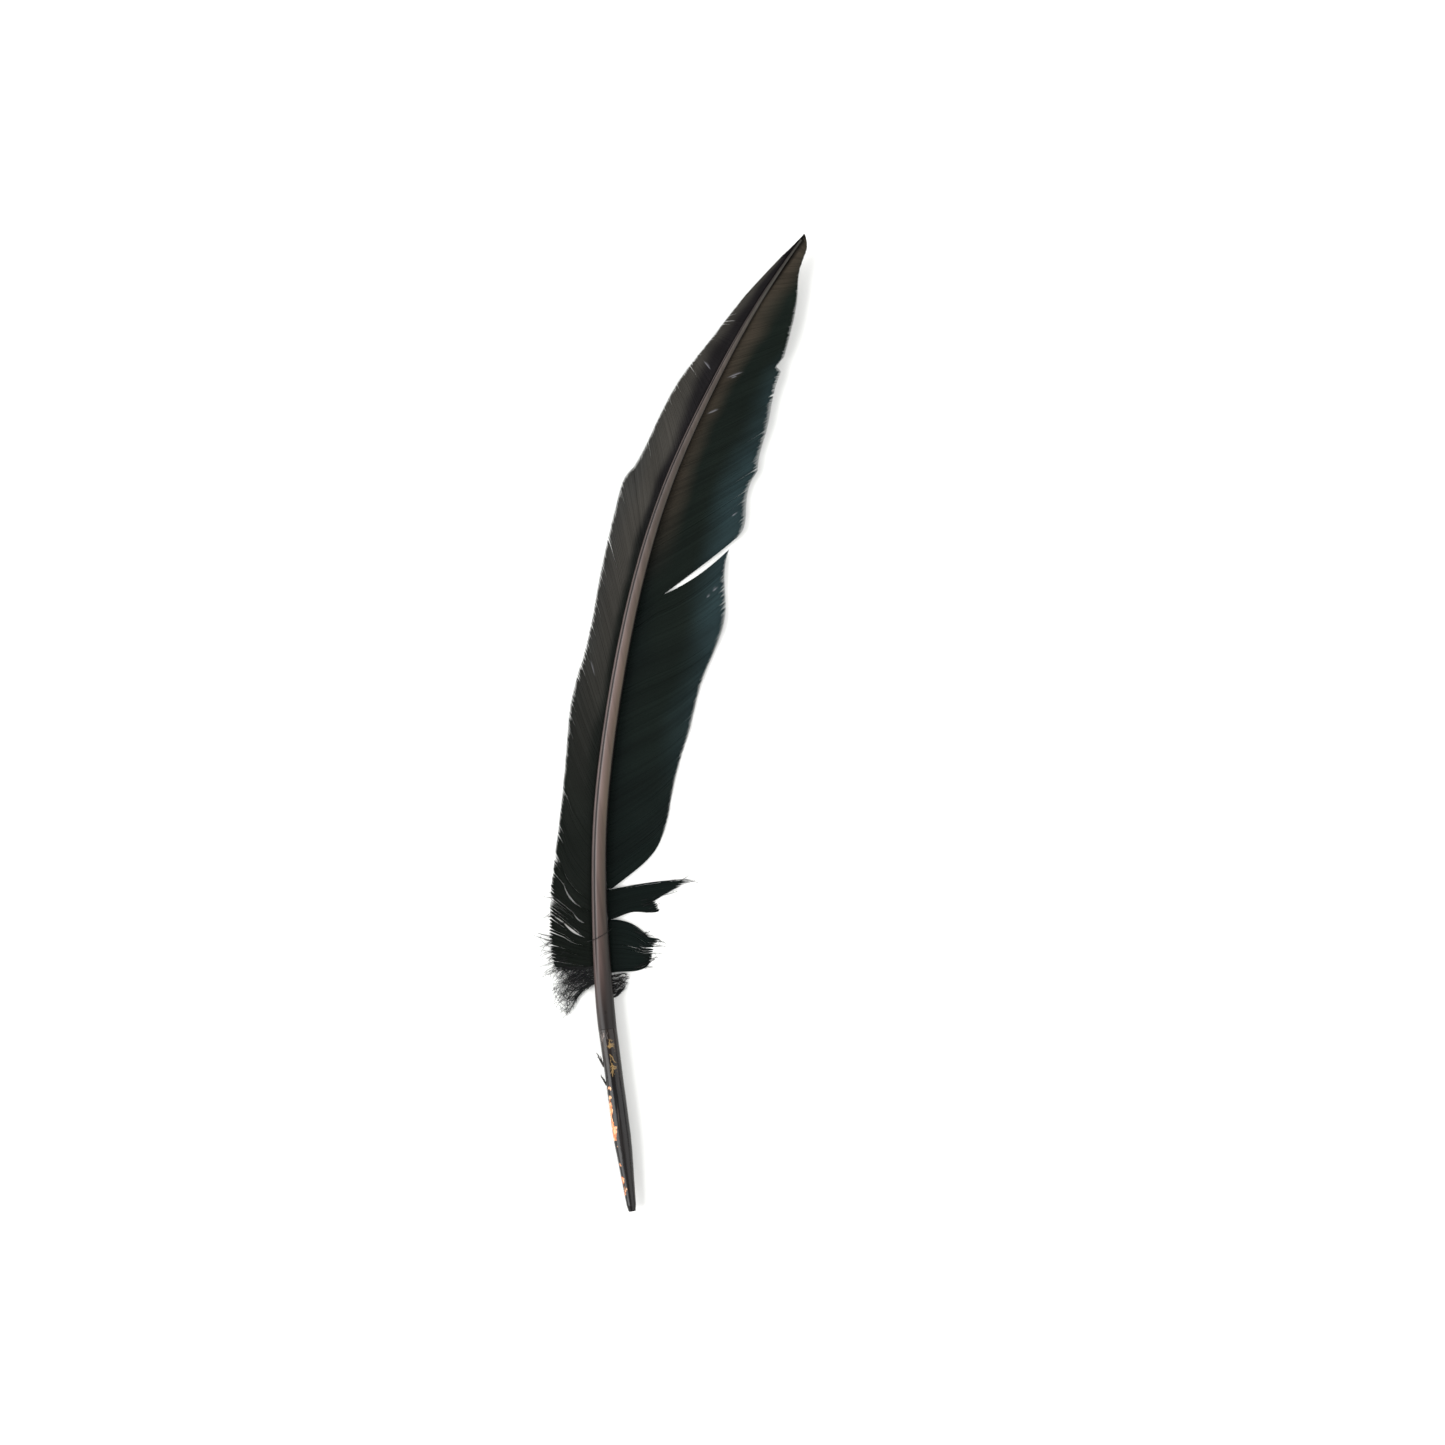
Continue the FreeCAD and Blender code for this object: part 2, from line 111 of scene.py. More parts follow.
def measure_shaft():
    """Centre line, half width and half height of the rachis, and on to the very tip."""
    places, triangles = node_mesh("rachis_cortex")
    first, last = places[:, 1].min(), places[:, 1].max()
    rows = []
    for at in np.linspace(first + 0.05, last - 0.4, SHAFT_STATIONS):
        around = cut_across(places, triangles, at)
        low, high = around.min(0), around.max(0)
        rows.append((at, (low[0] + high[0]) / 2, (low[2] + high[2]) / 2,
                     (high[0] - low[0]) / 2, (high[2] - low[2]) / 2))
    rows = np.array(rows)
    slope = np.gradient(rows[:, CENTRE_X], rows[:, 0])
    rows[:, HALF_WIDTH] *= np.cos(np.arctan(slope))
    # The tube below is straight and round, and the vanes reach a little past the end.
    tube = np.array([[0.0, 0.0, 0.0, rows[0, HALF_WIDTH], rows[0, HALF_HEIGHT]]])
    end = rows[-1].copy()
    reach = cad_high.y / MM + 1.0 - end[0]
    past = np.array([[end[0] + reach, end[1] + reach * slope[-1], end[2], 0.05, 0.05]])
    return np.concatenate([tube, rows, past])


SHAFT = measure_shaft()
SHAFT_TIP = SHAFT[-2, 0]


def on_line(at, column):
    """One column of the shaft's table at y = at."""
    return np.interp(at, SHAFT[:, 0], SHAFT[:, column])


def line_normal(at):
    """Unit vector across the shaft, towards +X, in plan."""
    step = 1.0
    slope = (on_line(at + step, CENTRE_X) - on_line(at - step, CENTRE_X)) / (2.0 * step)
    size = np.sqrt(1.0 + slope * slope)
    return np.stack([1.0 / size, -slope / size], axis=-1)


# ------------------------------------------------------------------ small maths helpers


def smooth(value, start, end):
    """0 up to start and 1 from end on, with a soft step between them."""
    part = np.clip((value - start) / (end - start), 0.0, 1.0)
    return part * part * (3.0 - 2.0 * part)


def wander(count, knots, dice):
    """A smooth random row from -1 to 1 with about this many waves."""
    knots = max(int(knots), 2)
    values = dice.uniform(-1.0, 1.0, knots + 1)
    where = np.linspace(0.0, knots, count)
    low = np.minimum(where.astype(int), knots - 1)
    part = where - low
    part = part * part * (3.0 - 2.0 * part)
    return values[low] * (1.0 - part) + values[low + 1] * part


def path_lengths(points):
    steps = np.linalg.norm(np.diff(points, axis=0), axis=1)
    return np.concatenate([[0.0], np.cumsum(steps)])


def resample(points, count):
    """The same path with evenly spaced points."""
    lengths = path_lengths(points)
    wanted = np.linspace(0.0, lengths[-1], count)
    return np.stack(
        [np.interp(wanted, lengths, points[:, k]) for k in range(points.shape[1])], axis=1
    )


# ------------------------------------------------------------------ making meshes


def new_piece(name, vertices, faces, material, stands_for):
    """A mesh piece in metres that rides on the feather and stands for CAD nodes."""
    mesh = bpy.data.meshes.new(name)
    mesh.from_pydata((np.asarray(vertices) * MM).tolist(), [], faces)
    mesh.update()
    mesh.polygons.foreach_set("use_smooth", np.ones(len(mesh.polygons), bool))
    mesh.materials.append(material)
    piece = bpy.data.objects.new(name, mesh)
    bpy.context.scene.collection.objects.link(piece)
    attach(piece, "root")
    if stands_for:
        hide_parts(*stands_for)
    return piece


def write_values(piece, name, values):
    """A number for each vertex, which the material reads."""
    attribute = piece.data.attributes.new(name, "FLOAT", "POINT")
    attribute.data.foreach_set("value", np.asarray(values, np.float32))


def tube_faces(rings, sides, start=0):
    """Quads of a closed tube of rings, and the two end caps."""
    ring = np.arange(rings - 1)[:, None] * sides + start
    side = np.arange(sides)[None, :]
    following = (side + 1) % sides
    quads = np.stack(
        [ring + side, ring + following, ring + sides + following, ring + sides + side],
        axis=-1,
    ).reshape(-1, 4)
    first_cap = list(range(start + sides - 1, start - 1, -1))
    last = start + (rings - 1) * sides
    last_cap = list(range(last, last + sides))
    return quads.tolist() + [first_cap, last_cap]


def many_tubes(blocks):
    """Vertices and faces of many tubes; each block is (tube, ring, side, xyz)."""
    vertices = []
    faces = []
    start = 0
    for block in blocks:
        tubes, rings, sides, _ = block.shape
        for tube in range(tubes):
            faces.extend(tube_faces(rings, sides, start + tube * rings * sides))
        vertices.append(block.reshape(-1, 3))
        start += tubes * rings * sides
    return np.concatenate(vertices), faces


# ------------------------------------------------------------------ outlines of the webs

# A triangle belongs to a web's upper face when its normal points up by more than this.
UPWARD = 0.1
# Outline points this close to the shaft's side are the web's root.
ROOT_REACH = 0.45


def top_outline(name):
    """The loop round a web's upper face, seen in plan, as an ordered path."""
    places, triangles = node_mesh(name)
    a, b, c = (places[triangles[:, k]] for k in range(3))
    normal = np.cross(b - a, c - a)
    normal /= np.linalg.norm(normal, axis=1)[:, None] + 1e-12
    upper = triangles[normal[:, 2] > UPWARD]
    pairs = np.concatenate([upper[:, [0, 1]], upper[:, [1, 2]], upper[:, [2, 0]]]).tolist()
    known = {tuple(pair) for pair in pairs}
    onward = {}
    for start, end in pairs:
        if (end, start) not in known:
            onward.setdefault(start, []).append(end)
    best = []
    for first in sorted(onward):
        loop = []
        here = first
        while onward.get(here):
            loop.append(here)
            here = onward[here].pop()
        if len(loop) > len(best):
            best = loop
    return places[best]


def split_outline(name, side):
    """Root path and outer path of a web, both from the lower end to the upper end."""
    loop = top_outline(name)
    from_line = loop[:, 0] - on_line(loop[:, 1], CENTRE_X)
    across = from_line * line_normal(loop[:, 1])[:, 0] * side
    near = across < on_line(loop[:, 1], HALF_WIDTH) + ROOT_REACH
    count = len(loop)
    # The longest run of near points, measured along the feather, is the root.
    best = (-1.0, 0, 0)
    for start in range(count):
        if near[start] and not near[start - 1]:
            length = 1
            while near[(start + length) % count]:
                length += 1
            span = abs(loop[(start + length - 1) % count, 1] - loop[start, 1])
            best = max(best, (span, start, length))
    _, start, length = best
    turned = np.roll(loop, -start, axis=0)
    root = turned[:length]
    outer = np.concatenate([turned[length - 1:], turned[:1]])[::-1]
    if root[0, 1] > root[-1, 1]:
        root, outer = root[::-1], outer[::-1]
    return root, outer


# ------------------------------------------------------------------ materials


def srgb(red, green, blue):
    """A colour written as it looks on screen, 0 to 255, as linear light."""
    found = []
    for value in (red, green, blue):
        value = value / 255.0
        found.append(value / 12.92 if value <= 0.04045 else ((value + 0.055) / 1.055) ** 2.4)
    return (*found, 1.0)


def grey(level):
    return (level, level, level, 1.0)


class Paint:
    """A node material under construction."""

    def __init__(self, name, roughness, specular):
        self.material = bpy.data.materials.new(name)
        self.material.use_nodes = True
        self.tree = self.material.node_tree
        self.shader = self.tree.nodes["Principled BSDF"]
        self.shader.inputs["Roughness"].default_value = roughness
        self.shader.inputs["Specular IOR Level"].default_value = specular
        self.place = self.tree.nodes.new("ShaderNodeTexCoord").outputs["Object"]

    def link(self, source, socket):
        if hasattr(source, "is_linked"):
            self.tree.links.new(source, socket)
        else:
            socket.default_value = source

    def stretch(self, scale):
        node = self.tree.nodes.new("ShaderNodeMapping")
        node.inputs["Scale"].default_value = scale
        self.link(self.place, node.inputs["Vector"])
        return node.outputs["Vector"]

    def noise(self, scale, detail=2.0, place=None, warp=0.0):
        node = self.tree.nodes.new("ShaderNodeTexNoise")
        node.inputs["Scale"].default_value = scale
        node.inputs["Detail"].default_value = detail
        node.inputs["Distortion"].default_value = warp
        self.link(self.place if place is None else place, node.inputs["Vector"])
        return node.outputs["Fac"]

    def value(self, name):
        node = self.tree.nodes.new("ShaderNodeAttribute")
        node.attribute_name = name
        return node.outputs["Fac"]

    def maths(self, kind, first, second):
        node = self.tree.nodes.new("ShaderNodeMath")
        node.operation = kind
        self.link(first, node.inputs[0])
        self.link(second, node.inputs[1])
        return node.outputs[0]

    def remap(self, source, low, high, to_low=0.0, to_high=1.0):
        node = self.tree.nodes.new("ShaderNodeMapRange")
        node.interpolation_type = "SMOOTHSTEP"
        self.link(source, node.inputs["Value"])
        node.inputs["From Min"].default_value = low
        node.inputs["From Max"].default_value = high
        node.inputs["To Min"].default_value = to_low
        node.inputs["To Max"].default_value = to_high
        return node.outputs["Result"]

    def blend(self, part, first, second, kind="MIX"):
        node = self.tree.nodes.new("ShaderNodeMix")
        node.data_type = "RGBA"
        node.blend_type = kind
        # The node has several inputs called A and B; these are the colours.
        self.link(part, node.inputs["Factor"])
        self.link(first, node.inputs[6])
        self.link(second, node.inputs[7])
        return node.outputs[2]

    def bump(self, height, strength, distance):
        node = self.tree.nodes.new("ShaderNodeBump")
        node.inputs["Strength"].default_value = strength
        node.inputs["Distance"].default_value = distance
        self.link(height, node.inputs["Height"])
        self.link(node.outputs["Normal"], self.shader.inputs["Normal"])

    def finish(self, colour, roughness=None):
        self.link(colour, self.shader.inputs["Base Color"])
        if roughness is not None:
            self.link(roughness, self.shader.inputs["Roughness"])
        return self.material


# How much of the vane colours is left under the dye.
DYE_DEPTH = 0.68


def vane_material(name, near, middle, edge, low, specular, near_from, near_to):
    """Dyed barbs: colours near the shaft, in the middle, at the free edge and low down.

    The near colour gives way to the middle one between near_from and near_to, as shares of
    a barb's usual reach. Up the feather the near colour is painted light beside the shaft: a
    painted sheen on the wide vane and painted shade on the narrow one. The wide vane's edge
    colour is a painted teal sheen, and the barb roots are darkened as painted shadow.
    """
    paint = Paint(name, 0.5, specular)
    reach = paint.value("reach")
    cloud = paint.noise(38.0, 3.0)
    reach = paint.maths("ADD", reach, paint.remap(cloud, 0.3, 0.7, -0.07, 0.07))
    # Painted light beside the shaft: up the feather the near colour is a painted sheen on the wide
    # vane and painted shade on the narrow one; on the wide vane the edge colour is a painted teal
    # sheen.
    near = paint.blend(paint.value("height"), low, near)
    colour = paint.blend(paint.remap(reach, near_from, near_to), near, middle)
    colour = paint.blend(paint.remap(reach, 0.5, 1.05), colour, edge)
    colour = paint.blend(paint.value("lowness"), colour, low)
    tone = paint.maths("ADD", paint.value("tone"), paint.remap(cloud, 0.25, 0.75, -0.12, 0.12))
    light = paint.blend(paint.remap(tone, 0.0, 1.0), grey(0.68), (1.38, 1.36, 1.34, 1.0))
    colour = paint.blend(1.0, colour, light, "MULTIPLY")
    # Painted shadow: the barb roots darken next to the shaft, where its shade falls.
    root = paint.remap(paint.value("root"), 0.0, 1.0, 1.0, 0.25)
    colour = paint.blend(1.0, colour, root, "MULTIPLY")
    colour = paint.blend(1.0, colour, grey(DYE_DEPTH), "MULTIPLY")
    colour = paint.blend(paint.value("pale"), colour, srgb(140, 140, 146))
    paint.bump(paint.noise(2600.0, 1.0), 0.12, 0.0001)
    roughness = paint.remap(paint.noise(120.0), 0.3, 0.7, 0.42, 0.56)
    return paint.finish(colour, roughness)


def shaft_material():
    """Dyed horn of the rachis: a painted highlight at its left, olive and darkened by painted shade
    at its right, and painted shade on its rims and in its groove.
    """
    paint = Paint("dyed_shaft_horn_painted_light", 0.34, 0.26)
    streaks = paint.noise(900.0, 3.0, paint.stretch((1.0, 0.03, 1.0)))
    cloud = paint.noise(60.0, 3.0, paint.stretch((1.0, 0.35, 1.0)))
    # Painted light across the top: lighter at the left, a painted highlight, and darker at the
    # right, painted shade; low down it runs from lighter at the left to near black at the right.
    left = paint.blend(paint.value("height"), srgb(108, 93, 90), srgb(78, 70, 67))
    right = paint.blend(paint.value("height"), srgb(66, 55, 42), srgb(54, 48, 41))
    face = paint.blend(paint.value("right"), left, right)
    low = paint.blend(paint.value("right"), srgb(78, 63, 60), srgb(8, 6, 4))
    face = paint.blend(paint.value("lowness"), face, low)
    face = paint.blend(paint.value("foot"), face, srgb(19, 14, 12))
    face = paint.blend(paint.value("tip"), face, srgb(50, 49, 44))
    # Painted shade on the rims and underside: darker at the left rim and near black at the right.
    side = paint.blend(paint.value("right"), srgb(62, 54, 53), srgb(14, 11, 10))
    colour = paint.blend(paint.value("edge"), face, side)
    # Painted shade in the groove.
    colour = paint.blend(paint.value("groove"), colour, srgb(22, 18, 17))
    shade = paint.maths(
        "ADD", paint.remap(streaks, 0.3, 0.7, 0.0, 0.6), paint.remap(cloud, 0.3, 0.7, 0.0, 0.4)
    )
    shade = paint.blend(shade, (0.78, 0.77, 0.76, 1.0), (1.22, 1.2, 1.2, 1.0))
    colour = paint.blend(1.0, colour, shade, "MULTIPLY")
    paint.bump(streaks, 0.22, 0.0002)
    return paint.finish(colour, paint.remap(cloud, 0.3, 0.7, 0.3, 0.44))


def tube_material():
    """Black-dyed horn of the tube, with bare orange flakes, olive scratches and cracks drawn with
    pale lines that are a painted highlight.
    """
    paint = Paint("dyed_tube_horn", 0.2, 0.3)
    cloud = paint.noise(170.0, 4.0, paint.stretch((1.0, 0.4, 1.0)), 0.4)
    flakes = paint.noise(520.0, 4.0, paint.stretch((1.0, 0.5, 1.0)), 0.5)
    crumbs = paint.noise(1300.0, 2.0, paint.stretch((1.0, 0.6, 1.0)))
    dye = paint.blend(paint.remap(cloud, 0.35, 0.65), srgb(5, 4, 5), srgb(15, 11, 10))
    dye = paint.blend(paint.value("upper"), dye, srgb(24, 16, 12))
    ragged = paint.maths(
        "ADD", paint.remap(flakes, 0.3, 0.7, -0.34, 0.34), paint.remap(crumbs, 0.3, 0.7, -0.1, 0.1)
    )
    bare = paint.remap(paint.maths("ADD", paint.value("orange"), ragged), 0.48, 0.56)
    orange = paint.blend(paint.remap(crumbs, 0.35, 0.65), srgb(186, 98, 52), srgb(222, 168, 126))
    colour = paint.blend(bare, dye, orange)
    ridge = paint.maths("ABSOLUTE", paint.maths("SUBTRACT", flakes, 0.5), 0.0)
    line = paint.remap(ridge, 0.0, 0.055, 1.0, 0.0)
    scratch = paint.maths("MULTIPLY", line, paint.value("olive"))
    colour = paint.blend(paint.remap(scratch, 0.15, 0.7), colour, srgb(128, 104, 66))
    # Painted highlight: pale lines along the cracks stand in for glints on them; the cracks also
    # get relief.
    crack_and_glint = paint.maths("MULTIPLY", line, paint.value("crack_and_glint"))
    colour = paint.blend(paint.remap(crack_and_glint, 0.2, 0.9, 0.0, 0.6), colour, srgb(130, 118, 112))
    scuffs = paint.noise(1100.0, 4.0, paint.stretch((1.0, 0.05, 1.0)))
    colour = paint.blend(paint.remap(scuffs, 0.6, 0.74, 0.0, 0.45), colour, srgb(92, 80, 72))
    grain = paint.maths("MULTIPLY", crumbs, 0.2)
    relief = paint.maths("ADD", paint.maths("MULTIPLY", cloud, 0.6), grain)
    relief = paint.maths("SUBTRACT", relief, paint.maths("MULTIPLY", bare, 0.5))
    relief = paint.maths("ADD", relief, paint.maths("MULTIPLY", paint.remap(crack_and_glint, 0.1, 0.8), 0.8))
    paint.bump(relief, 0.4, 0.0003)
    worn = paint.maths(
        "ADD", paint.remap(cloud, 0.3, 0.7, 0.14, 0.3), paint.remap(scuffs, 0.5, 0.7, 0.0, 0.2)
    )
    return paint.finish(colour, worn)


def plain_material(name, first, second, scale, roughness, specular):
    """One material that drifts between two colours."""
    paint = Paint(name, roughness, specular)
    cloud = paint.noise(scale, 3.0)
    paint.bump(cloud, 0.2, 0.0002)
    return paint.finish(paint.blend(paint.remap(cloud, 0.3, 0.7), first, second))


# Wide vane: the near colour is a painted sheen and the edge colour a painted teal sheen. Narrow
# vane: the near colour is painted shade beside the shaft.
INNER_PAINT = vane_material(
    "dyed_inner_barbs_painted_light", near=srgb(68, 61, 52), middle=srgb(20, 28, 24), edge=srgb(38, 54, 57),
    low=srgb(15, 24, 22), specular=0.06, near_from=0.04, near_to=0.34
)
OUTER_PAINT = vane_material(
    "dyed_outer_barbs_painted_shade", near=srgb(24, 22, 24), middle=srgb(64, 62, 58), edge=srgb(58, 58, 56),
    low=srgb(16, 21, 17), specular=0.06, near_from=0.14, near_to=0.38
)
DOWN_PAINT = plain_material(
    "dyed_down", srgb(14, 17, 17), srgb(34, 34, 34), scale=300.0, roughness=0.6, specular=0.12
)
STUB_PAINT = plain_material(
    "stub_horn", srgb(12, 11, 12), srgb(44, 36, 33), scale=900.0, roughness=0.35, specular=0.3
)
PITH_PAINT = plain_material(
    "shaft_pith", srgb(205, 196, 180), srgb(232, 226, 212), scale=900.0, roughness=0.9,
    specular=0.1
)
PLUG_PAINT = plain_material(
    "dyed_pore_plug", srgb(20, 15, 12), srgb(40, 30, 24), scale=700.0, roughness=0.6, specular=0.2
)
MEMBRANE_PAINT = plain_material(
    "dry_pulp", srgb(150, 132, 110), srgb(196, 180, 156), scale=700.0, roughness=0.7,
    specular=0.2
)


# ------------------------------------------------------------------ webs of barbs


OUTER_POINTS = 800
ROOT_POINTS = 200
SIDE_POINTS = 60
# Rays that find a web's height start here, above the whole feather.
RAY_HEIGHT = 30.0


class Web:
    """A web's curved patch: barbs run from the root path to the free edge.

    The corners are shares of the outer path: below the low corner it is the web's lower
    side, above the high corner its upper side, and between them the free edge.
    """

    def __init__(self, name, side, low_corner, high_corner):
        root, outer = split_outline(name, side)
        self.side = side
        self.share = np.linspace(0.0, 1.0, OUTER_POINTS)
        self.outer = resample(outer, OUTER_POINTS)[:, :2]
        self.root = resample(root, ROOT_POINTS)[:, :2]
        self.low = low_corner
        self.high = high_corner
        self.low_side = self.on_outer(np.linspace(0.0, low_corner, SIDE_POINTS))
        self.high_side = self.on_outer(np.linspace(1.0, high_corner, SIDE_POINTS))
        self.root_length = path_lengths(self.root)[-1]
        self.tree = tree_of(name)

    def on_outer(self, at):
        return np.stack([np.interp(at, self.share, self.outer[:, k]) for k in (0, 1)], axis=-1)

    def on_root(self, at):
        where = np.linspace(0.0, 1.0, len(self.root))
        return np.stack([np.interp(at, where, self.root[:, k]) for k in (0, 1)], axis=-1)

    def side_offset(self, path, along):
        """How far a side curve leaves the straight line between its ends."""
        where = np.linspace(0.0, 1.0, len(path))
        on = np.stack([np.interp(along, where, path[:, k]) for k in (0, 1)], axis=-1)
        straight = path[0] + (path[-1] - path[0]) * along[..., None]
        return on - straight

    def places(self, across, along, bow):
        """Plan points for shares across the web (0 lowest) and along a barb (0 root)."""
        across = np.clip(across, 0.0, 1.0)
        start = self.on_root(across)
        end = self.on_outer(self.low + (self.high - self.low) * across)
        points = start + (end - start) * along[..., None]
        fade = 1.7
        low_weight = ((1.0 - across) ** fade)[..., None]
        high_weight = (across ** fade)[..., None]
        points = points + low_weight * self.side_offset(self.low_side, along)
        points = points + high_weight * self.side_offset(self.high_side, along)
        reach = end - start
        turned = np.stack([-reach[..., 1], reach[..., 0]], axis=-1) * self.side
        sag = bow * (4.0 * across * (1.0 - across))[..., None]
        return points + turned * sag * (4.0 * along * (1.0 - along))[..., None]

    def heights(self, points):
        """Heights of the web's upper face at plan points."""
        flat = points.reshape(-1, 2)
        found = np.empty(len(flat))
        last = 0.0
        for k, (x, y) in enumerate(flat.tolist()):
            place, _, _, _ = self.tree.ray_cast((x, y, RAY_HEIGHT), (0.0, 0.0, -1.0))
            if place is None:
                place, _, _, _ = self.tree.find_nearest((x, y, last))
            last = place.z
            found[k] = last
        return found.reshape(points.shape[:-1])


def soften(values, rounds):
    """Average neighbours along the last axis."""
    for _ in range(rounds):
        inner = (values[..., :-2] + 2.0 * values[..., 1:-1] + values[..., 2:]) / 4.0
        values = np.concatenate([values[..., :1], inner, values[..., -1:]], axis=-1)
    return values


VANES = {
    # paint, slot, a barb's usual reach, and where along the feather the low colour fades out
    INNER: (INNER_PAINT, "inner_vane", 32.0, (95.0, 185.0)),
    OUTER: (OUTER_PAINT, "outer_vane", 22.0, (110.0, 212.0)),
}
# Where along the feather the colour of its upper part comes in.
UPPER_COLOUR = (182.0, 228.0)
BARB_PITCH = 0.42
BARB_STEPS = 44
# A barb's section: flat below, with a low ridge above; shares of its half width and thickness.
BARB_SECTION = np.array(
    [(-1.0, -0.9), (-1.0, -0.25), (-0.3, 1.0), (0.35, 0.75), (1.0, 0.1), (1.0, -0.6)]
)
# From a sheet's upper face down to the middle of a barb.
SHEET_MIDDLE = 0.22


def barb_plans(web, dice, count, bow, splits, rough, fringe, inset):
    """Each barb's path in plan, from inside the shaft to its own loose end."""
    across = np.linspace(0.0, 1.0, count)
    ends = np.linspace(0.0, 1.0, BARB_STEPS + 1)[None, :]
    length = web.root_length
    millimetre = 1.0 / length
    # Barbs lean on each other in groups and part a little towards the free edge.
    drift = 0.9 * wander(count, length / 11.0, dice) + 0.35 * wander(count, length / 3.0, dice)
    inside = np.minimum(1.0, np.minimum(across, 1.0 - across) / 0.06)
    shift = (drift * inside * rough * millimetre)[:, None] * ends ** 1.5
    shift = shift + (dice.normal(0.0, 0.10, count) * inside * rough * millimetre)[:, None] * ends
    for at, depth, width in splits:
        away = across - at
        push = np.sign(away + 1e-9) * np.exp(-np.abs(away) * length / 2.4) * width * millimetre
        shift = shift + push[:, None] * smooth(ends, 1.0 - depth, 1.0)
    away_from_middle = (across - 0.5)[:, None] * 2.0
    shift = shift - away_from_middle * inset * millimetre * smooth(ends, 0.15, 0.5)
    # The ends stop unevenly, in groups and singly.
    tips = web.places(across, np.ones(count), 0.0)
    span = np.linalg.norm(tips - web.places(across, np.zeros(count), 0.0), axis=1)
    loose = 0.6 * wander(count, length / 2.0, dice) + dice.normal(0.0, 0.45, count)
    loose = fringe * loose * inside + 0.3
    along = np.repeat(ends, count, axis=0) * (1.0 + loose / np.maximum(span, 2.0))[:, None]
    plan = web.places(np.clip(across[:, None] + shift, 0.0, 1.0), along, bow)
    # The roots are pulled into the shaft.
    at = plan[:, 0, 1]
    depth = np.minimum(0.9, 0.15 + 0.7 * on_line(at, HALF_WIDTH))
    root_pull = line_normal(at) * web.side * depth[:, None]
    return plan - root_pull[:, None, :] * (1.0 - smooth(ends, 0.0, 0.05))[..., None]


def barb_heights(web, dice, plan, rough, relief):
    """Heights of the barbs: the CAD sheet, gently waved."""
    count, steps = plan.shape[:2]
    ends = np.linspace(0.0, 1.0, steps)[None, :]
    length = web.root_length
    height = soften(web.heights(plan), 6) - SHEET_MIDDLE
    waves = 0.16 * wander(count, length / 6.0, dice) + 0.12 * wander(count, length / 1.8, dice)
    waves = waves * relief
    ripple = 0.12 * np.sin(plan[..., 1] * 0.35 + plan[..., 0] * 0.21)
    own = relief * dice.normal(0.0, 0.035, count)[:, None]
    lift = waves[:, None] * rough * smooth(ends, 0.05, 0.5) + ripple * smooth(ends, 0.1, 0.6)
    return height + (lift + own)


def barb_blades(centre, dice):
    """Rings of closed blades along the barbs, each wide enough to overlap the next."""
    count, steps = centre.shape[:2]
    ends = np.linspace(0.0, 1.0, steps)[None, :]
    ahead = np.gradient(centre, axis=1)
    ahead /= np.linalg.norm(ahead, axis=2)[..., None] + 1e-9
    sideways = np.cross(np.broadcast_to(UP, ahead.shape), ahead)
    sideways /= np.linalg.norm(sideways, axis=2)[..., None] + 1e-9
    above = np.cross(ahead, sideways)
    gap = np.gradient(centre[..., :2], axis=0)
    gap = np.abs((gap * sideways[..., :2]).sum(-1))
    gap = soften(soften(gap.T, 3).T, 3)
    half = np.clip(gap * 0.72, 0.07, 0.55)
    half = half * (1.0 - 0.7 * smooth(ends, 0.9, 1.0)) * dice.uniform(0.88, 1.15, count)[:, None]
    thick = np.clip(0.4 * half, 0.045, 0.085) * (1.0 - 0.5 * smooth(ends, 0.7, 1.0))
    return (
        centre[:, :, None, :]
        + sideways[:, :, None, :] * (half[..., None] * BARB_SECTION[:, 0])[..., None]
        + above[:, :, None, :] * (thick[..., None] * BARB_SECTION[:, 1])[..., None]
    )


def faded_barbs(count, steps, pale):
    """How pale each barb is: a few single barbs have lost their dye over a short stretch."""
    ends = np.linspace(0.0, 1.0, steps)
    faded = np.zeros((count, steps))
    for at, begins, stops in pale:
        row = int(at * (count - 1))
        middle, reach = (begins + stops) / 2.0, (stops - begins) / 2.0
        faded[row] += 0.45 * np.exp(-(((ends - middle) / (0.6 * reach)) ** 4))
        faded[row + 1] += 0.12 * np.exp(-(((ends - middle) / (0.4 * reach)) ** 4))
    return np.clip(faded, 0.0, 0.8)


def web_of_barbs(name, side, low_corner, high_corner, bow=0.0, pitch=BARB_PITCH, splits=(),
                 rough=1.0, fringe=0.3, inset=0.0, pale=(), relief=1.0):
    """Overlapping closed blades, one for each barb, in place of a CAD web.

    splits holds (share across the web, depth from the free edge, width), and pale holds
    (share across the web, where along the barb it begins, where it stops).
    """
    dice = np.random.default_rng(sum(map(ord, name)))
    web = Web(name, side, low_corner, high_corner)
    paint, slot, usual_reach, low_stretch = VANES[side]
    count = max(int(web.root_length / pitch), 8)
    plan = barb_plans(web, dice, count, bow, splits, rough, fringe, inset)
    height = barb_heights(web, dice, plan, rough, relief)
    centre = np.concatenate([plan, height[..., None]], axis=-1)
    blades = barb_blades(centre, dice)
    vertices, faces = many_tubes([blades])
    piece = new_piece(name + "_barbs", vertices, faces, paint, [name])

    tone = 0.16 * wander(count, web.root_length / 4.0, dice) + dice.normal(0.0, 0.09, count)
    reach = np.linalg.norm(centre[..., :2] - centre[:, :1, :2], axis=2)
    at = centre[..., 1]
    values = {
        "tone": np.repeat(np.clip(0.5 + relief * tone, 0.0, 1.0)[:, None], at.shape[1], axis=1),
        "reach": reach / usual_reach,
        "lowness": 1.0 - smooth(at, *low_stretch),
        "height": smooth(at, *UPPER_COLOUR),
        # Painted shadow on the barb roots beside the shaft.
        "root": 1.0 - smooth(reach, 0.6, 2.2),
        "pale": faded_barbs(count, at.shape[1], pale),
    }
    for key, rows in values.items():
        write_values(piece, key, np.repeat(rows.ravel(), len(BARB_SECTION)))
    return web


